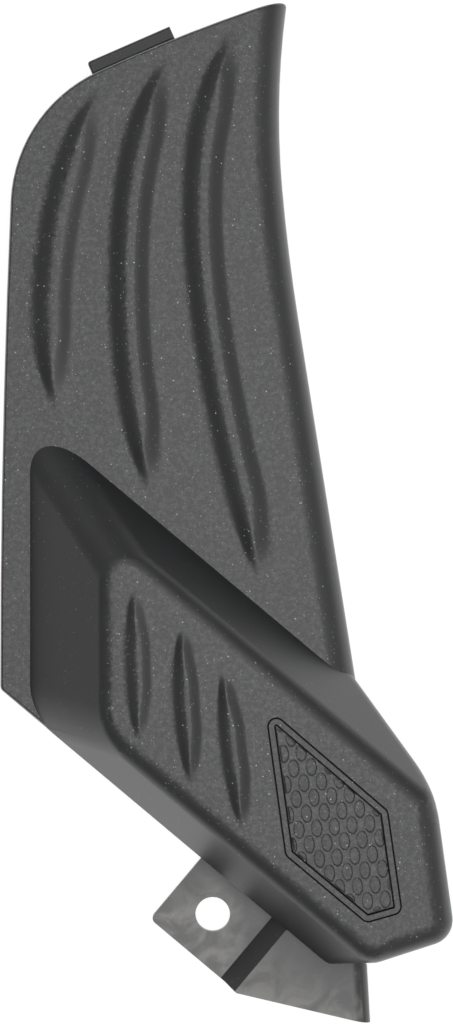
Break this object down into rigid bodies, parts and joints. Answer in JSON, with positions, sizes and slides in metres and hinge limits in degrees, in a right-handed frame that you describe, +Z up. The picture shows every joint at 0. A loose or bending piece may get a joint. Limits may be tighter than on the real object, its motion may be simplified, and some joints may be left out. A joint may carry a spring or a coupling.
{
  "type": "scooter floorboard",
  "caption": "Moulded scooter floorboard panel with crescent grip ridges, a raised foot block with a scaled pad, a front locating tongue and a holed fixing lug.",
  "frame": {"origin": "middle of the fixing hole at the underside of its lug, which is also the plane of the skirt's lower rim", "axes": "+Z up out of the tread face, +Y along the panel towards its front tip, +X towards the rolled outer edge"},
  "size_m": [0.1794, 0.4114, 0.0439],
  "materials": {
    "board_plastic": "fine mould grain with small bright flecks on the treads, smoother on the block's sides and the lug"
  },
  "bodies": {
    "root": {"floorboard": "board_plastic"}
  },
  "joints": []
}
